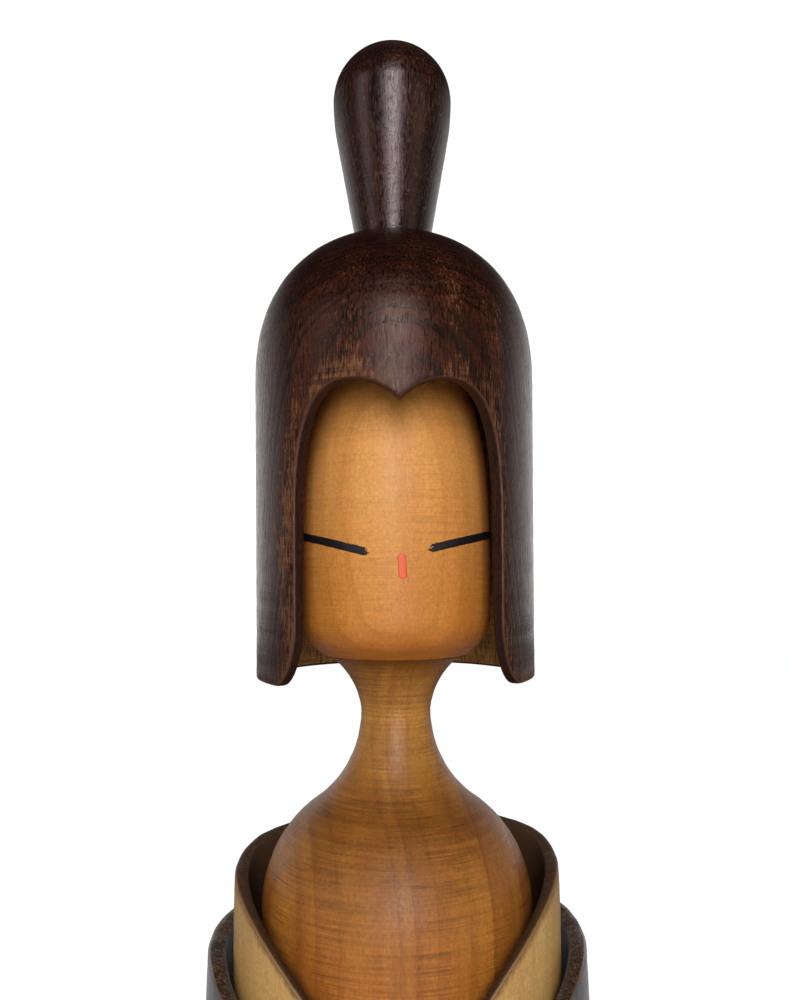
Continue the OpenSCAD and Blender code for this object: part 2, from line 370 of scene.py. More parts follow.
# The wood's colour: early wood to warm by band and ring, late lines, a shading made of fibres, lathe
# lines and flecks, then scores and pores. Gives the colour and that shading as a grey.
def woodColour(tree, look, ring, fibre, turn):
    colour = mixColour(tree, fit(tree, fibre["Band"], 0.3, 0.7), look["early"], look["warm"])
    colour = mixColour(tree, times(tree, ring["Tone"], look["toneMix"]), colour, look["warm"])
    colour = mixColour(tree, times(tree, ring["Late"], look["lateMix"]), colour, look["late"])
    shade = times(tree, spread(tree, fibre["Streak"], look["streakMix"]),
                  spread(tree, turn["Line"], look["lineMix"]))
    shade = times(tree, shade, spread(tree, fibre["Fleck"], look["fleckMix"]))
    grey = addNode(tree, "ShaderNodeCombineColor", {0: shade, 1: shade, 2: shade}).outputs[0]
    colour = mixColour(tree, 1.0, colour, grey, "MULTIPLY")
    score = times(tree, turn["Score"], look["scoreMix"])
    colour = mixColour(tree, score, colour, look["late"])
    pore = times(tree, fibre["Pore"], look["poreMix"])
    return mixColour(tree, pore, colour, look["pore"]), grey


# Tints and stain on top of the wood: darker and more orange towards one height, the stain worn to bare
# wood, darker on end grain.
def tintAndStainColour(tree, look, colour, turn, worn):
    if "lowerTint" in look:                     # the colour grows darker and more orange from one height to another
        up = addNode(tree, "ShaderNodeSeparateXYZ", {0: objectMm(tree)}).outputs[2]
        deeper = mixColour(tree, 1.0, colour, look["lowerTint"], "MULTIPLY")
        colour = mixColour(tree, fit(tree, up, *look["lowerTintAt"]), colour, deeper)
    if "bare" in look:                      # worn through the stain to bare wood
        rubbed = times(tree, worn["Spots"], fit(tree, turn["Line"], 0.4, 0.55, 0.35, 1.0))
        bare = math2(tree, "MAXIMUM", times(tree, worn["Edge"], look["edgeMix"]),
                     times(tree, rubbed, look["spotMix"]))
        colour = mixColour(tree, bare, colour, look["bare"])
    if "endTint" in look:                   # the ends of the fibres drink more stain
        lean = markOf(tree, "endGrain")
        darker = mixColour(tree, 1.0, colour, look["endTint"], "MULTIPLY")
        colour = mixColour(tree, lean, colour, darker)
    return colour


# A shell's own colours by depth, 0 on the outer wall and 1 on the inner: the cut face with bare spots,
# a painted highlight as a thin light line along its outer rounded edge, and the inner wall.
def shellColour(tree, look, colour, grey, fibre, depth):
    spot = times(tree, fit(tree, fibre["Fleck"], 0.5, 0.62), look["cutSpot"])
    cut = mixColour(tree, 1.0, mixColour(tree, spot, look["cut"], look["cutBare"]), grey, "MULTIPLY")
    colour = mixColour(tree, fit(tree, depth, 0.02, look["cutFrom"]), colour, cut)
    # painted highlight: a thin light line along the outer rounded edge of the cut face
    arrisHighlight = times(tree, fit(tree, depth, 0.0, 0.04), fit(tree, depth, 0.06, 0.18, 1.0, 0.0))
    colour = mixColour(tree, arrisHighlight, colour, look["arrisHighlight"])
    # the inner wall's colour: the hood's is its own wood, the collar's and the kimono's are painted shade,
    # darker than their wood, for the narrow gaps they face
    inner = mixColour(tree, 1.0, look["inside"], grey, "MULTIPLY")
    return mixColour(tree, fit(tree, depth, look["insideFrom"], 1.0), colour, inner)


# Turned wood from one dictionary of colours and amounts: colour, roughness by fibre, pore and wear,
# and a relief that is the sum of the lathe lines, scores, pores, fibres and late wood.
def woodMaterial(name, look):
    material, tree, shader = newMaterial(name, **{
        "IOR": look["ior"], "Specular Tint": (*look["shine"], 1),
        "Coat Weight": look["coat"], "Coat Roughness": look["coatRough"],
        "Sheen Weight": look["sheen"], "Sheen Roughness": look["sheenRough"]})
    ring = place(tree, rings, look["rings"])
    fibre = place(tree, fibres, look["fibres"])
    turn = place(tree, lathe, {"Pitch": look["pitch"]})
    worn = place(tree, wear, look["wear"])
    colour, grey = woodColour(tree, look, ring, fibre, turn)
    colour = tintAndStainColour(tree, look, colour, turn, worn)
    rough = fit(tree, fibre["Streak"], 0.38, 0.62, look["rough"][0], look["rough"][1], "LINEAR")
    rough = math2(tree, "ADD", rough, times(tree, fibre["Pore"], 0.15))
    rough = math2(tree, "ADD", rough, times(tree, worn["Spots"], 0.1), clamp=True)
    if "inside" in look:                    # cut faces and inner walls are left unpolished
        depth = markOf(tree, "depth")
        colour = shellColour(tree, look, colour, grey, fibre, depth)
        rough = math2(tree, "ADD", rough, fit(tree, depth, 0.02, 0.5, 0.0, look["cutRough"]), clamp=True)
        if look["coat"] > 0:
            tree.links.new(fit(tree, depth, 0.0, 0.3, look["coat"], 0.0), shader.inputs["Coat Weight"])
    tree.links.new(colour, shader.inputs["Base Color"])
    tree.links.new(rough, shader.inputs["Roughness"])
    height = times(tree, turn["Line"], look["relief"]["line"])
    for source, key in ((turn["Score"], "score"), (fibre["Pore"], "pore"), (fibre["Streak"], "streak"),
                        (ring["Late"], "late")):
        height = math2(tree, "ADD", height, times(tree, source, look["relief"][key]))
    addBump(tree, shader, height, 1.0)
    return material


darkLook = {                                # stained wood: the hood, the knot and the kimono start here
    "shine": (1.0, 0.72, 0.62), "ior": 1.38, "rough": (0.16, 0.42),
    "coat": 0.0, "coatRough": 0.3, "sheen": 0.0, "sheenRough": 0.35,
    "rings": {"Pith X": -1.0, "Pith Y": 52.0, "Lean X": 0.0, "Lean Y": -0.1, "Ring Gap": 1.1,
              "Wobble": 0.5},
    "fibres": {"Fineness": 1.0, "Pore Amount": 0.5}, "pitch": 0.32,
    "wear": {"Reach": 0.35, "Spot Amount": 0.5},
    "early": (0.052, 0.0130, 0.0050), "warm": (0.019, 0.0040, 0.0020), "late": (0.006, 0.0018, 0.0012),
    "pore": (0.003, 0.0015, 0.0012), "bare": (0.30, 0.125, 0.045),
    "toneMix": 0.9, "lateMix": 0.85, "streakMix": 0.8, "lineMix": 0.35, "fleckMix": 0.3,
    "scoreMix": 0.5, "poreMix": 0.65, "edgeMix": 0.22, "spotMix": 0.55,
    "relief": {"line": 0.03, "score": -0.02, "pore": -0.06, "streak": 0.05, "late": -0.02},
}
paleLook = {                                # waxed wood: the face, the bust, the collar and the peg
    "shine": (1, 1, 1), "ior": 1.42, "rough": (0.36, 0.56),
    "coat": 0.0, "coatRough": 0.35, "sheen": 0.0, "sheenRough": 0.35,
    "rings": {"Pith X": 2.0, "Pith Y": 60.0, "Lean X": 0.0, "Lean Y": 0.05, "Ring Gap": 3.2,
              "Wobble": 1.0},
    "fibres": {"Fineness": 1.4, "Pore Amount": 0.02}, "pitch": 0.3, "wear": {},
    "early": (0.68, 0.33, 0.085), "warm": (0.61, 0.265, 0.060), "late": (0.36, 0.150, 0.035),
    "pore": (0.18, 0.07, 0.02),
    "toneMix": 0.40, "lateMix": 0.20, "streakMix": 0.05, "lineMix": 0.11, "fleckMix": 0.16,
    "scoreMix": 0.45, "poreMix": 0.4,
    "relief": {"line": 0.016, "score": -0.012, "pore": -0.01, "streak": 0.014, "late": 0.0},
}


# Brushed paint: bristle streaks along the stroke, thinner where the wood shows through.
def paintMaterial(name, colour, thin, rough):
    material, tree, shader = newMaterial(name, **{"IOR": 1.45})
    where = objectMm(tree)
    bristles = noise(tree, stretch(tree, where, 0.5, 0.5, 5.0), 1.0, 4.0, 0.7)
    grain = noise(tree, stretch(tree, where, 3.0, 3.0, 1.2), 1.0, 3.0, 0.6)
    both = math2(tree, "ADD", times(tree, bristles, 0.5), times(tree, grain, 0.5))
    tree.links.new(mixColour(tree, fit(tree, both, 0.45, 0.7), colour, thin), shader.inputs["Base Color"])
    tree.links.new(fit(tree, both, 0.3, 0.7, rough - 0.1, rough + 0.1), shader.inputs["Roughness"])
    addBump(tree, shader, both, 0.03)
    return material


print("finishes ready")


knotLook = dict(darkLook, shine=(1.0, 0.86, 0.86), ior=1.5, rough=(0.08, 0.36),
                wear={"Reach": 1.0, "Spot Amount": 0.3}, spotMix=0.3, edgeMix=0.0,
                early=(0.034, 0.0085, 0.0040), warm=(0.013, 0.0030, 0.0018), endTint=(0.42, 0.36, 0.34),
                relief={"line": 0.035, "score": -0.03, "pore": -0.05, "streak": 0.04, "late": -0.02})
knotWood = woodMaterial("knotWood", knotLook)
knotShape = {"footR": 9.5, "wideR": 15.2, "wideZ": 402.7, "capRise": 14.8, "seatZ": 365.5,
             "flare": 10.9, "flareR": 58.0, "tenonR": 5.0, "tenonZ": 326.0}


# A tenon, a foot, a straight flare that bends into the widest ring, and an elliptical cap.
def makeTopknot(k):
    bendZ = k["wideZ"] - k["flareR"] * math.sin(math.radians(k["flare"]))
    side = softCorners([[0, k["tenonZ"]], [k["tenonR"], k["tenonZ"]], [k["tenonR"], k["seatZ"]],
                        [k["footR"], k["seatZ"]], [k["wideR"] - 1.05, bendZ - 0.1]], [0, 0.5, 0, 0.5, 0])
    bend = arc(k["wideR"] - k["flareR"], k["wideZ"], k["flareR"], -k["flare"], 0, 16)
    t = np.radians(np.linspace(1, 90, 60))
    cap = np.stack([k["wideR"] * np.cos(t), k["wideZ"] + k["capRise"] * np.sin(t)], -1)
    cap[-1, 0] = 0
    outline = subdivide(np.concatenate([side, bend, cap]), 0.8)
    turnedPiece("topknot", outline, 160, (368, 0.03), "doll_head", ["topknot"], knotWood)


makeTopknot(knotShape)


# the arris colour is a painted highlight along the outer rounded edge of the cut
hairLook = dict(darkLook, endTint=(0.42, 0.36, 0.34), arrisHighlight=(0.060, 0.026, 0.014),
                cut=(0.014, 0.0045, 0.003), cutBare=(0.04, 0.014, 0.008), cutSpot=0.6, cutFrom=0.12,
                cutRough=0.2, inside=(0.28, 0.14, 0.038), insideFrom=0.985)
hairWood = woodMaterial("hairWood", hairLook)
hoodShape = {"footR": 33.9, "wideR": 34.7, "footZ": 256.2, "domeZ": 328.5, "domeRise": 37.8, "power": 2.3,
             "seatZ": 365.5, "boreR": 31.0, "innerZ": 322.0, "innerRise": 24.6, "ceilingZ": 346.0,
             "holeR": 5.05, "unrollR": 34.2, "splitZ": 324.0, "edge": 0.7,
             "peakZ": 323.2, "peakAt": 10.5, "lobeBend": 12.0, "sideAt": 25.3, "shoulderDrop": 31.0,
             "shoulderPower": 2.5, "flareWide": 7.8, "flareRise": 14.2, "flarePower": 2.0,
             "cornerUp": 2.2, "waver": 0.03, "evenOut": 2.2, "riseBow": 0.9,
             "frontColumns": 46, "backColumns": 76, "lowRows": 42, "highRows": 84, "holeRows": 24}


# The way along an outline to each of its points.
def lengthOf(points):
    return np.concatenate([[0], np.cumsum(np.linalg.norm(np.diff(points, axis=0), axis=1))])


# The outer and the inner wall by a common height-like value. Up to splitZ the value is the height
# itself, above it each wall is walked at its own even pace to the hole.
def hoodWalls(h):

    # a straight side, then a superellipse dome that is cut level at topZ and open at the hole
    def outlineOf(footR, wideR, domeZ, rise, topZ):
        dome = swell(wideR, rise, domeZ, h["power"], 0, 90, 400)
        dome[:, 1] = np.minimum(dome[:, 1], topZ)
        dome = dome[dome[:, 0] > h["holeR"]]
        side = subdivide([[footR, h["footZ"]], [wideR, domeZ]], 0.5)
        return np.concatenate([side, dome[1:], [[h["holeR"], topZ]]])

    def pace(outline):
        low = outline[outline[:, 1] < h["splitZ"]]
        high = outline[outline[:, 1] >= h["splitZ"]]
        length = lengthOf(high)
        value = np.concatenate([low[:, 1], h["splitZ"] + 0.01 + 60 * length / length[-1]])
        return value, np.concatenate([low, high])

    outer = outlineOf(h["footR"], h["wideR"], h["domeZ"], h["domeRise"], h["seatZ"])
    inner = outlineOf(h["boreR"], h["boreR"], h["innerZ"], h["innerRise"], h["ceilingZ"])
    return pace(outer), pace(inner)


# count points at even steps along an outline, its ends included.
def evenly(points, count):
    length = lengthOf(points)
    at = np.linspace(0, length[-1], count)
    return np.stack([np.interp(at, length, points[:, k]) for k in (0, 1)], -1)


# The right half of the cut edge on the unrolled hood, from the point over the forehead round the lobe
# and down the side to the lower edge and on to the back: a parabola up to the lobe's peak, a
# superellipse down to the side, and a second one for the rounded lower corner.
def hoodEdge(h):
    s = np.linspace(0, h["peakAt"], 60)
    lobe = np.stack([s, h["peakZ"] - (h["peakAt"] - s) ** 2 / (2 * h["lobeBend"])], -1)
    t = np.linspace(0, np.pi / 2, 200)
    p = 2 / h["shoulderPower"]
    shoulder = np.stack([h["peakAt"] + (h["sideAt"] - h["peakAt"]) * np.sin(t) ** p,
                         h["peakZ"] - h["shoulderDrop"] * (1 - np.abs(np.cos(t)) ** p)], -1)
    p = 2 / h["flarePower"]
    corner = np.stack([h["sideAt"] + h["flareWide"] * (1 - np.abs(np.cos(t)) ** p),
                       h["footZ"] + h["flareRise"] * (1 - np.sin(t) ** p)], -1)
    back = np.pi * h["unrollR"]
    return np.concatenate([lobe, shoulder[1:]]), np.concatenate([shoulder[-1:], corner]), back


# The edge moved into the wood by distance, square to itself; its ends keep their own lines.
def inset(edge, distance):
    way = np.gradient(edge, axis=0)
    way /= np.linalg.norm(way, axis=1)[:, None]
    moved = edge + distance * np.stack([-way[:, 1], way[:, 0]], -1)
    moved[0] = [edge[0, 0], edge[0, 1] + distance / max(0.3, way[0, 0])]
    moved[-1] = [edge[-1, 0], edge[-1, 1] + distance]
    return moved


# A grid between four edges: the two blends of opposite edges, less the blend of the corners.
def coons(bottom, top, left, right):
    u = np.linspace(0, 1, len(bottom))[None, :, None]
    v = np.linspace(0, 1, len(left))[:, None, None]
    sides = (1 - v) * bottom[None] + v * top[None] + (1 - u) * left[:, None] + u * right[:, None]
    corners = ((1 - u) * (1 - v) * bottom[0] + u * (1 - v) * bottom[-1]
               + (1 - u) * v * top[0] + u * v * top[-1])
    return sides - corners


# The hood is one cut edge on an unrolled wall: a low grid behind the opening, a high grid from the
# edge's arch to the hole in the crown, both on the outer and the inner wall, and a rounded strip
# along the edge that joins the walls.
def makeHood(h):
    (outerAt, outer), (innerAt, inner) = hoodWalls(h)
    archTop, sideRun, back = hoodEdge(h)
    lean = slopeOf(outer)

    # unrolled place s, height-like value and depth from the outer wall, to a point in space
    def wall(s, value, depth):
        r0, z0 = (np.interp(value, outerAt, outer[:, k]) for k in (0, 1))
        r1, z1 = (np.interp(value, innerAt, inner[:, k]) for k in (0, 1))
        radius = r0 + (r1 - r0) * depth
        radius = radius + gougeSize * gougeWaves(z0) * (1 - depth)
        return around(radius, s / h["unrollR"] + headTurn, z0 + (z1 - z0) * depth)

    arch = evenly(archTop, h["frontColumns"])
    cornerIndex = np.argmin(np.abs(sideRun[:, 1] - h["footZ"] - h["cornerUp"]))
    side = evenly(sideRun[: cornerIndex + 1], h["lowRows"])
    foot = evenly(np.concatenate([sideRun[cornerIndex:], [[back, h["footZ"]]]]), h["backColumns"])
    edge = np.concatenate([arch, side[1:], foot[1:]])
    waver = np.sin(np.arange(len(edge)) * 0.37) * np.sin(np.arange(len(edge)) * 0.11 + 1)
    edge[1:-1, 1] += h["waver"] * waver[1:-1]
    moved = inset(edge, h["edge"])
    nArch = len(arch)
    nSide = len(side)
    left = moved[nArch - 1: nArch - 1 + nSide][::-1]
    bottom = moved[nArch + nSide - 2:]
    lineZ = left[-1, 1]
    top = np.stack([np.linspace(left[-1, 0], back, len(bottom)), np.full(len(bottom), lineZ)], -1)
    right = np.stack([np.full(nSide, back), np.linspace(bottom[-1, 1], lineZ, nSide)], -1)
    low = coons(bottom, top, left, right)

    start = np.concatenate([moved[:nArch], top[1:]])
    even = np.linspace(0, back, len(start))
    rise = np.linspace(0, 1, h["highRows"])[:, None]
    share = np.clip(rise * h["evenOut"], 0, 1)
    share = share * share * (3 - 2 * share)
    highS = start[:, 0] + (even - start[:, 0]) * share
    highV = start[:, 1] + (outerAt[-1] - start[:, 1]) * rise ** h["riseBow"]
    high = np.stack([highS, highV], -1)

    points = []
    faces = []
    marks = {"rim": [], "depth": [], "endGrain": []}
    cut = np.concatenate([edge, edge * [-1, 1]])

    # one block of the right half and its mirror image on the left
    def add(grid, depths, rim):
        for mirror in (1, -1):
            count = sum(len(p) for p in points)
            block = wall(grid[..., 0] * mirror, grid[..., 1], depths).reshape(-1, 3)
            quads = quadsOf(*grid.shape[:2])
            faces.append((quads if mirror == 1 else quads[:, ::-1]) + count)
            points.append(block)
            marks["rim"].append(np.broadcast_to(rim, grid.shape[:2]).ravel())
            marks["depth"].append(np.broadcast_to(depths, grid.shape[:2]).ravel())
            marks["endGrain"].append(np.interp(grid[..., 1], outerAt, lean).ravel())

    for grid in (low, high):                # the gap to the cut edge, in eight parts to save memory
        flatGrid = grid.reshape(-1, 2)
        gap = np.concatenate([np.min(np.linalg.norm(part[:, None] - cut[None], axis=2), axis=1)
                              for part in np.array_split(flatGrid, 8)]).reshape(grid.shape[:2])
        add(grid, np.zeros(grid.shape[:2]), gap)
        add(grid[:, ::-1], np.ones(grid.shape[:2]), gap[:, ::-1])

    t = np.radians(np.linspace(0, 90, 6))
    thickness = outer[0, 0] - inner[0, 0]
    ease = h["edge"] / thickness
    away = np.concatenate([h["edge"] * (1 - np.sin(t)), h["edge"] * (1 - np.cos(t))])
    deep = np.concatenate([ease * (1 - np.cos(t)), 1 - ease * (1 - np.sin(t))])
    shift = (moved - edge) / h["edge"]
    strip = edge[None] + shift[None] * away[:, None, None]
    strip[:, 0, 0] = 0
    strip[:, -1, 0] = back
    add(strip[:, ::-1], np.repeat(deep[:, None], len(edge), 1), 0.0)

    rows = h["holeRows"]
    hole = np.stack([np.repeat(even[None], rows, 0), np.full((rows, len(even)), outerAt[-1])], -1)
    add(hole, np.repeat(np.linspace(0, 1, rows)[:, None], len(even), 1), 30.0)
    makePiece("hairHood", np.concatenate(points), np.concatenate(faces),
              {k: np.concatenate(v) for k, v in marks.items()}, "doll_head", ["hair_hood"],
              hairWood)


makeHood(hoodShape)


faceLook = dict(paleLook, endTint=(0.68, 0.52, 0.30), lowerTint=(0.86, 0.71, 0.48), lowerTintAt=(312.0, 266.0))
faceWood = woodMaterial("faceWood", faceLook)
headShape = {"wideR": 23.6, "wideZ": 287.0, "topZ": 340.0, "lowRise": 48.0, "power": 2.6,
             "cheekPower": 3.0, "seamZ": 261.4, "seamR": 17.6, "jawZ": 266.0, "stubR": 9.0,
             "stubZ": 346.0, "pegR": 4.05, "pegZ": 284.0, "knotR": 5.05, "knotZ": 325.0}


# The head's outside radius at a height: two superellipse halves of one width.
def headRadius(z, h=headShape):
    half = np.where(z < h["wideZ"], h["lowRise"], h["topZ"] - h["wideZ"])
    power = np.where(z < h["wideZ"], h["cheekPower"], h["power"])
    part = np.clip(np.abs(z - h["wideZ"]) / half, 0, 1)
    return h["wideR"] * (1 - part ** power) ** (1 / power)


# The outline runs from the peg's bore, over the seam and the chin, up the face and over the crown's
# stub to the bore for the topknot.
def makeHead(h):
    z = np.linspace(h["jawZ"] + 4.4, h["topZ"] - 2, 150)
    face = np.stack([headRadius(z), z], -1)
    chin = softCorners([[0, h["pegZ"]], [h["pegR"], h["pegZ"]], [h["pegR"], h["seamZ"]],
                        [h["seamR"], h["seamZ"]], [headRadius(h["jawZ"]), h["jawZ"]], face[0]],
                       [0, 0, 0.2, 0.3, 4.0, 0], 11)
    crown = softCorners([face[-1], [h["stubR"], h["topZ"] - 1.2], [h["stubR"], h["stubZ"]],
                         [h["knotR"], h["stubZ"]], [h["knotR"], h["knotZ"]], [0, h["knotZ"]]],
                        [0, 0.5, 0.3, 0.3, 0, 0])
    outline = subdivide(np.concatenate([chin, face, crown]), 0.8)
    turnedPiece("head", outline, 224, (264, 0.035), "doll_head", ["head"], faceWood)


makeHead(headShape)


bustLook = dict(paleLook, rough=(0.34, 0.56), pitch=0.4,
                rings={"Pith X": 120.0, "Pith Y": 20.0, "Lean X": 0.03, "Lean Y": 0.0, "Ring Gap": 6.0,
                       "Wobble": 1.0},
                early=(0.50, 0.240, 0.040), warm=(0.38, 0.160, 0.026), late=(0.17, 0.055, 0.010),
                endTint=(0.47, 0.35, 0.21), lowerTint=(0.80, 0.58, 0.45), lowerTintAt=(244.0, 186.0),
                toneMix=0.85, lateMix=0.25, streakMix=0.08, lineMix=0.26, fleckMix=0.2, scoreMix=0.95,
                relief={"line": 0.03, "score": -0.03, "pore": -0.02, "streak": 0.02, "late": 0.0})
bustWood = woodMaterial("bustWood", bustLook)
bustShape = {"seamZ": 261.3, "seamR": 17.6, "flarePower": 1.6, "neckR": 8.5, "neckZ": 248.0, "coveR": 26.5,
             "shoulderR": 32.4, "shoulderZ": 202.5, "baseZ": 140.0, "tenonR": 15.0, "tenonZ": 119.0,
             "pegR": 4.0, "pegZ": 234.0}


# Tenon, straight trunk, a shoulder arc that runs into the neck's cove, and a superellipse flare up to
# the seam under the chin.
def makeBust(b):
    coveX = b["neckR"] + b["coveR"]
    fall = b["neckZ"] - b["shoulderZ"]
    shoulder = ((coveX - b["shoulderR"]) ** 2 + fall ** 2 - b["coveR"] ** 2) / (
        2 * (b["coveR"] - coveX + b["shoulderR"]))
    shoulderX = b["shoulderR"] - shoulder
    meet = math.degrees(math.atan2(fall, coveX - shoulderX))
    foot = softCorners([[0, b["tenonZ"]], [b["tenonR"], b["tenonZ"]], [b["tenonR"], b["baseZ"]],
                        [b["shoulderR"], b["baseZ"]], [b["shoulderR"], b["shoulderZ"] - 0.5]],
                       [0, 0.6, 0, 0.6, 0])
    body = arc(shoulderX, b["shoulderZ"], shoulder, 0, meet, 60)
    cove = arc(coveX, b["neckZ"], b["coveR"], 180 + meet, 180, 60)
    t = np.radians(np.linspace(3, 90, 30))
    rise = b["seamZ"] - b["neckZ"]
    p = 2 / b["flarePower"]
    flare = np.stack([b["neckR"] + (b["seamR"] - b["neckR"]) * (1 - np.abs(np.cos(t)) ** p),
                      b["neckZ"] + rise * np.sin(t) ** p], -1)
    top = softCorners([flare[-1], [b["pegR"], b["seamZ"]], [b["pegR"], b["pegZ"]], [0, b["pegZ"]]],
                      [0, 0.2, 0, 0])
    outline = subdivide(np.concatenate([foot, body, cove[1:], flare, top[1:]]), 0.8)
    turnedPiece("bust", outline, 224, (160, 0.045), "doll_body", ["bust"], bustWood)


makeBust(bustShape)


# Height of the rim by angle. In front it follows a slightly bowed line from the V point up to the
# side, read by the distance across, and just past the side it runs into the level back.
def vRim(angle, radius, pointZ, sideR, sideZ, topZ, blend, bow=150.0, softness=0.6):
    chord = math.hypot(sideR, sideZ - pointZ)
    reach = math.sqrt(bow ** 2 - chord ** 2 / 4)
    cx = sideR / 2 + reach * (sideZ - pointZ) / chord
    cz = (pointZ + sideZ) / 2 - reach * sideR / chord
    past = np.clip(np.abs(angle) - np.pi / 2, 0, 0.6)
    across = np.sqrt((radius * np.sin(np.clip(angle, -np.pi / 2, np.pi / 2))) ** 2 + softness ** 2)
    across = across - softness * 0.4 + radius * past * 0.35
    front = cz + np.sqrt(bow ** 2 - (across - cx) ** 2)
    mix = np.clip(0.5 + (topZ - front) / (2 * blend), 0, 1)
    return topZ + (front - topZ) * mix - blend * mix * (1 - mix)


# Rows of one grid that is closed round the axis: from the foot up the outer wall, over the rounded
# rim, and down the inner wall. Above the level rows, the rows share the height that is left. The cut
# through the wall runs straight back in front and turns radial at the sides.
def makeShell(name, c, material, nodes):
    angle = np.linspace(-np.pi, np.pi, c["columns"], endpoint=False)
    rimZ = vRim(angle, c["rimR"], c["vZ"], c["sideR"], c["sideZ"], c["topZ"], c["blend"])
    rimZ = rimZ + c["lean"] * np.sin(angle) + c["rough"] * wavyLine(angle, c["seed"])
    s = angle * c["rimR"]
    slope = np.gradient(np.concatenate([rimZ, rimZ, rimZ]), s[1] - s[0])[len(s): 2 * len(s)]
    way = np.stack([np.ones_like(slope), slope], -1) / np.sqrt(1 + slope ** 2)[:, None]
    inwards = np.stack([way[:, 1], -way[:, 0]], -1)
    rows = []
    rims = []
    depths = []

    # one ring of points, turned by a small angle, with its gap to the rim and its depth in the wall
    def addRow(r, turn, z, gap, depth):
        rows.append(around(r + 0 * angle, angle + turn, z + 0 * angle))
        rims.append(gap + 0 * angle)
        depths.append(np.full(len(angle), float(depth)))

    for r, z, depth in c["under"]:
        addRow(r, 0, z, 40.0, depth)
    edgeR = c["edge"]
    fade = np.clip((88 - np.degrees(np.abs(angle))) / 43, 0, 1)
    straight = np.tan(np.clip(angle, -1.5, 1.5)) * (fade * fade * (3 - 2 * fade))
    straight = straight * (c["sideR"] / c["innerR"] - 1)
    offS = inwards[:, 0] * edgeR / c["rimR"]
    offZ = inwards[:, 1] * edgeR
    for share in np.linspace(0, 1, c["wallRows"]):
        z = c["levelZ"] + (rimZ + offZ - c["levelZ"]) * share
        addRow(c["outerAt"](z) + gougeSize * gougeWaves(z), offS * share ** 6, z, rimZ - z, 0)
    t = np.radians(np.linspace(0, 90, 6))
    thick = c["outerAt"](rimZ) - c["innerR"]

    # one row of the rim: its share of the way across the wall, how far back from the edge, and its lift
    def addRim(share, back, lift, depth):
        addRow(c["outerAt"](rimZ) - thick * share, offS * back + straight * share,
               rimZ + offZ * back + lift, 0.0, depth)

    for k in range(1, 6):                   # the outer rounded edge
        addRim(edgeR * (1 - math.cos(t[k])) / thick, 1 - math.sin(t[k]), 0, 0.3 * k / 5)
    for k in range(1, 5):                   # the cut face, slightly crowned
        share = (edgeR + (thick - 2 * edgeR) * k / 5) / thick
        addRim(share, 0, c["crown"] * math.sin(math.pi * k / 5), 0.3 + 0.35 * k / 5)
    for k in range(0, 6):                   # the inner rounded edge
        addRim(1 - edgeR * (1 - math.sin(t[k])) / thick, 1 - math.cos(t[k]), 0, 0.7 + 0.3 * k / 5)
    for share in np.linspace(0, 1, c["innerRows"])[1:]:
        z = rimZ + offZ + (c["innerLevelZ"] - rimZ - offZ) * share
        addRow(c["innerR"], offS * (1 - share) ** 6 + straight * (1 - share) ** 2, z, rimZ - z, 1)
    for r, z, depth in c["inner"]:
        addRow(r, 0, z, 40.0, depth)
    grid = np.array(rows)
    makePiece(name, grid.reshape(-1, 3), quadsOf(len(rows), c["columns"], True),
              {"rim": np.array(rims).ravel(), "depth": np.array(depths).ravel()}, "doll_body", nodes,
              material)


# A closed wavy line round the piece: ten sines with seeded sizes and phases.
def wavyLine(angle, seed):
    draw = np.random.default_rng(seed)
    turns = np.arange(5, 45, 4)
    size = draw.uniform(0.3, 1, len(turns)) / np.sqrt(turns)
    phase = draw.uniform(0, 6.28, len(turns))
    return (size[:, None] * np.sin(turns[:, None] * angle[None] + phase[:, None])).sum(0)


collarLook = dict(paleLook, early=(0.60, 0.38, 0.130), warm=(0.52, 0.30, 0.090), late=(0.34, 0.19, 0.07),
                  streakMix=0.12, lineMix=0.05, bare=(0.17, 0.085, 0.026), edgeMix=0.9, spotMix=0.0,
                  # the arris colour is a painted highlight along the rim's outer rounded edge
                  wear={"Reach": 3.4, "Spot Amount": 0.0}, arrisHighlight=(0.24, 0.14, 0.055),
                  cut=(0.055, 0.026, 0.009), cutBare=(0.13, 0.070, 0.026), cutSpot=0.6, cutFrom=0.35,
                  # the inner wall's colour is painted shade, far darker than this wood, for the gap
                  # against the bust
                  cutRough=0.35, inside=(0.085, 0.036, 0.010), insideFrom=0.93)
collarWood = woodMaterial("collarWood", collarLook)
collarShape = {"columns": 360, "rimR": 38.7, "vZ": 170.0, "sideR": 38.9, "sideZ": 213.2, "topZ": 214.6,
               "lean": 0.8, "blend": 3.2, "rough": 0.12, "seed": 3, "edge": 0.7, "crown": 0.25,
               "wallRows": 56, "innerRows": 36,
               "levelZ": 150.0, "innerLevelZ": 150.0, "innerR": 35.5,
               "under": [(35.5, 150.0, 1), (35.5, 140.0, 1), (38.88, 140.0, 0), (38.88, 145.0, 0)],
               "inner": [],
               "outerAt": lambda z: 38.88 - 0.35 * np.clip((z - 200) / 14, 0, 1) ** 2}
makeShell("innerCollar", collarShape, collarWood, ["inner_collar"])


# The kimono's outside: an arc through the foot and the widest ring.
def barrelR(z, wideR=45.9, wideZ=130.0, footIn=4.9):
    bow = (wideZ ** 2 + footIn ** 2) / (2 * footIn)
    return wideR - bow + np.sqrt(bow ** 2 - (z - wideZ) ** 2)


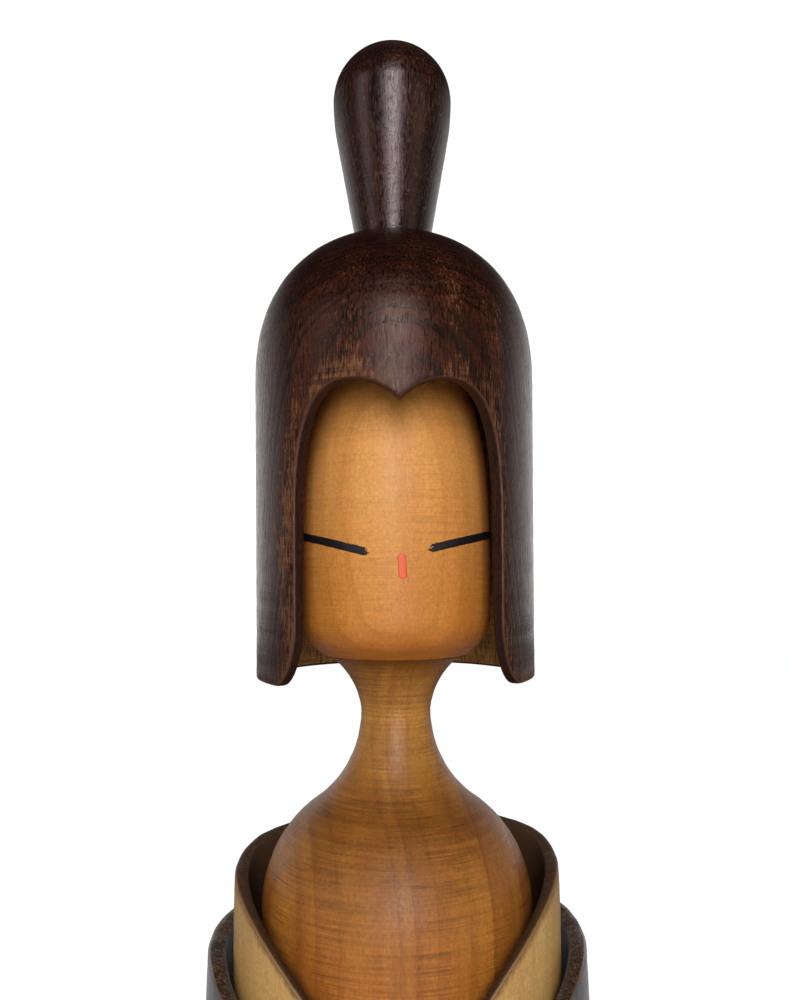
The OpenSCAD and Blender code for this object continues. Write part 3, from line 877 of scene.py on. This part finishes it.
footRows = [(0.0, 0.0, 0), (20.0, 0.0, 0), (38.0, 0.0, 0), (39.9, 0.0, 0), (40.5, 0.2, 0), (40.9, 0.6, 0),
            (41.05, 1.2, 0)]
barrelRows = [(float(barrelR(np.float64(z))), float(z), 0) for z in np.arange(3.0, 140.0, 2.0)]
wellRows = [(40.6, 152.0, 1), (38.95, 152.0, 1), (38.95, 140.0, 1), (15.05, 140.0, 1), (15.05, 118.0, 1),
            (0.0, 118.0, 1)]
kimonoLook = dict(darkLook, shine=(1, 1, 1), ior=1.45, rough=(0.28, 0.48), coat=1.0, coatRough=0.25,
                  sheen=0.2,
                  rings={"Pith X": 10.0, "Pith Y": 80.0, "Lean X": 0.0, "Lean Y": 0.0, "Ring Gap": 5.0,
                         "Wobble": 1.5},
                  early=(0.095, 0.066, 0.058), warm=(0.036, 0.023, 0.020), late=(0.012, 0.007, 0.006),
                  pore=(0.008, 0.005, 0.005), bare=(0.20, 0.10, 0.035), edgeMix=0.3,
                  # the arris colour is a painted highlight along the rim's outer rounded edge
                  wear={"Reach": 1.2, "Spot Amount": 0.2}, arrisHighlight=(0.09, 0.055, 0.03),
                  cut=(0.022, 0.011, 0.006), cutBare=(0.22, 0.11, 0.025), cutSpot=0.8, cutFrom=0.2,
                  # the inner wall's colour is painted shade, near black, for the narrow gap round the
                  # collar
                  cutRough=0.4, inside=(0.012, 0.007, 0.005), insideFrom=0.93)
kimonoWood = woodMaterial("kimonoWood", kimonoLook)
kimonoShape = {"columns": 360, "rimR": 44.6, "vZ": 156.0, "sideR": 45.0, "sideZ": 197.0, "topZ": 196.4,
               "lean": 0.45, "blend": 3.0, "rough": 0.25, "seed": 11, "edge": 1.2, "crown": 0.25,
               "wallRows": 44, "innerRows": 20,
               "levelZ": 141.0, "innerLevelZ": 153.0, "innerR": 40.6, "under": footRows + barrelRows,
               "inner": wellRows, "outerAt": barrelR}
makeShell("kimonoBody", kimonoShape, kimonoWood, ["kimono_body"])


# A brush stroke that lies on the face. u runs along the stroke and v across it: line gives its middle
# by u as distance across and height, and the film is thickest in the middle.
def makeStroke(name, nodes, material, line, s):
    run = np.linspace(0, 1, s["along"])[:, None]
    v = np.linspace(-1, 1, s["across"])[None, :]
    draw = np.random.default_rng(s["seed"])
    bristle = np.interp(v, np.linspace(-1, 1, 7), draw.normal(0, s["fray"], 7))
    u = run + bristle * (1 - run) ** 6 * (1 - v ** 8)
    ends = np.clip(np.minimum(u / s["ends"][0], (1 - u) / s["ends"][1]), 0, 1)
    half = s["half"] * (1 - (1 - ends) ** 2.2) ** 0.5 + 0.002
    knots = np.linspace(0, 1, s["knots"])
    right, left = (s["ragged"] * np.interp(run, knots, draw.normal(0, 1, len(knots))) for k in (0, 1))
    side = np.where(v > 0, half + right, half + left)
    middle = line(u)
    x = middle[0] + v * side * s["tilt"][0]
    z = middle[1] + v * side * s["tilt"][1]
    lift = s["film"] * (1 - np.abs(v) ** 4) * (1 - (1 - ends) ** 4)
    turn = np.arcsin(np.clip(x / headRadius(z), -0.995, 0.995)) + headTurn
    top = around(headRadius(z) + s["clear"] + lift, turn, z)
    low = around(headRadius(z) - s["sunk"], turn, z)
    grid = np.concatenate([top, low[:, ::-1]], axis=1)
    caps = [np.stack([top[k], low[k]]) for k in (0, -1)]
    n = s["across"]
    points = [grid.reshape(-1, 3)] + [c.reshape(-1, 3) for c in caps]
    first = len(points[0])
    cap = quadsOf(2, n)
    faces = [quadsOf(s["along"], 2 * n, True), cap + first, cap[:, ::-1] + first + 2 * n]
    makePiece(name, np.concatenate(points), np.concatenate(faces), {}, "doll_head", nodes,
              material)


blackPaint = paintMaterial("blackPaint", (0.006, 0.006, 0.008), (0.02, 0.017, 0.016), 0.45)
redPaint = paintMaterial("redPaint", (0.78, 0.10, 0.03), (0.62, 0.16, 0.05), 0.5)
brushStroke = {"half": 0.95, "clear": 0.02, "sunk": 0.15, "knots": 60}
eyeStroke = dict(brushStroke, film=0.12, ragged=0.05, ends=(0.05, 0.03), tilt=(0.0, 1.0), along=90,
                 across=15, seed=5, fray=0.03)
mouthStroke = dict(brushStroke, film=0.10, ragged=0.06, ends=(0.16, 0.1), tilt=(1.0, 0.0), along=40,
                   across=9, seed=9, fray=0.02)
makeStroke("leftEye", ["left_eye"], blackPaint,
           lambda u: (7.0 + 16.2 * u, 286.7 + 3.75 * u), dict(eyeStroke, ends=(0.07, 0.02), fray=0.06))
makeStroke("rightEye", ["right_eye"], blackPaint,
           lambda u: (-6.9 - 16.3 * u, 286.0 + 4.3 * u), dict(eyeStroke, seed=6))
makeStroke("mouth", ["mouth"], redPaint,
           lambda u: (0.95 - 0.25 * u, 280.0 + 5.6 * u), mouthStroke)

pegLook = dict(paleLook, early=(0.62, 0.42, 0.18), warm=(0.55, 0.36, 0.14))
pegWood = woodMaterial("pegWood", pegLook)
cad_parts["neck_peg"].data.materials.clear()
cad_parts["neck_peg"].data.materials.append(pegWood)
print("pieces built")


studio = {"floorSize": 6.0, "floorColour": (0.62, 0.62, 0.62), "floorGlow": 0.90, "white": 1.1,
          "back": 1.35, "front": 0.09, "top": 0.03,
          "cameraX": -0.12, "cameraZ": 282.0, "cameraBack": 220.0,
          "pitch": 4.548, "roll": 0.35, "lens": 31.68}


# A wide level sheet of pale paper.
def makeFloor(s):
    mesh = bpy.data.meshes.new("floor")
    half = s["floorSize"] / 2
    mesh.from_pydata([(-half, -half, 0), (half, -half, 0), (half, half, 0), (-half, half, 0)], [],
                     [(0, 1, 2, 3)])
    material, tree, shader = newMaterial("floorPaper", **{"Roughness": 0.9,
                                         "Base Color": (*s["floorColour"], 1),
                                         "Emission Color": (s["floorGlow"],) * 3 + (1,)})
    seen = addNode(tree, "ShaderNodeLightPath").outputs["Is Camera Ray"]
    tree.links.new(seen, shader.inputs["Emission Strength"])
    grain = noise(tree, objectMm(tree), 0.4, 3.0)
    addBump(tree, shader, grain, 0.05)
    mesh.materials.append(material)
    floor = bpy.data.objects.new("floor", mesh)
    bpy.context.scene.collection.objects.link(floor)


# White paper behind and beside the doll, a dim room in front of it. The camera sees white.
def makeWorld(s):
    world = bpy.data.worlds.new("studio")
    bpy.context.scene.world = world
    world.use_nodes = True
    tree = world.node_tree
    background = next(n for n in tree.nodes if n.type == "BACKGROUND")
    way = addNode(tree, "ShaderNodeSeparateXYZ",
                  {0: addNode(tree, "ShaderNodeTexCoord").outputs["Generated"]}).outputs
    behind = fit(tree, way[1], -0.1, 0.85, s["front"], s["back"])
    above = fit(tree, way[2], 0.12, 0.6)
    behind = times(tree, behind, math2(tree, "SUBTRACT", 1.0, above))
    above = times(tree, above, s["top"])
    seen = addNode(tree, "ShaderNodeLightPath").outputs["Is Camera Ray"]
    level = math2(tree, "ADD", behind, above)
    level = math2(tree, "MAXIMUM", level, times(tree, seen, s["white"]))
    tree.links.new(level, background.inputs["Strength"])
    background.inputs["Color"].default_value = (1, 1, 1, 1)


# A tall soft window that faces the doll's upper half.
def addWindow(name, spot, size, power, colour):
    light = bpy.data.lights.new(name, "AREA")
    light.shape = "RECTANGLE"
    light.size = size[0]
    light.size_y = size[1]
    light.energy = power
    light.color = colour
    lamp = bpy.data.objects.new(name, light)
    bpy.context.scene.collection.objects.link(lamp)
    lamp.location = spot
    aim = np.array([0, 0, 0.3]) - np.array(spot)
    yaw = math.atan2(-aim[0], aim[1])
    pitch = math.atan2(aim[2], math.hypot(aim[0], aim[1]))
    lamp.rotation_euler = (math.pi / 2 + pitch, 0, yaw)
    lamp.visible_camera = False


windows = {
    "leftWindow": {"spot": (-1.3, -0.80, 0.86), "size": (0.5, 1.1), "power": 2.4,
                   "colour": (1.0, 0.97, 1.0)},
    "frontWindow": {"spot": (0.03, -1.5, 0.80), "size": (0.5, 1.4), "power": 24.0,
                    "colour": (1.0, 0.97, 1.0)},
    "rightWall": {"spot": (1.2, -0.9, 0.55), "size": (0.7, 1.2), "power": 1.5,
                  "colour": (1.0, 0.86, 0.66)},
}
makeFloor(studio)
makeWorld(studio)
for name, w in windows.items():
    addWindow(name, w["spot"], w["size"], w["power"], w["colour"])

camera = bpy.data.objects.new("camera", bpy.data.cameras.new("camera"))
bpy.context.scene.collection.objects.link(camera)
camera.data.lens = studio["lens"]
camera.data.sensor_width = 36.0
camera.data.clip_start = 0.01
camera.location = (studio["cameraX"] * mm, -studio["cameraBack"] * mm, studio["cameraZ"] * mm)
camera.rotation_mode = "XYZ"
tilt = math.radians(90 + studio["pitch"])
camera.rotation_euler = (tilt, math.radians(studio["roll"]), 0)
bpy.context.scene.camera = camera
bpy.context.scene.view_settings.view_transform = "Standard"
print("studio built")
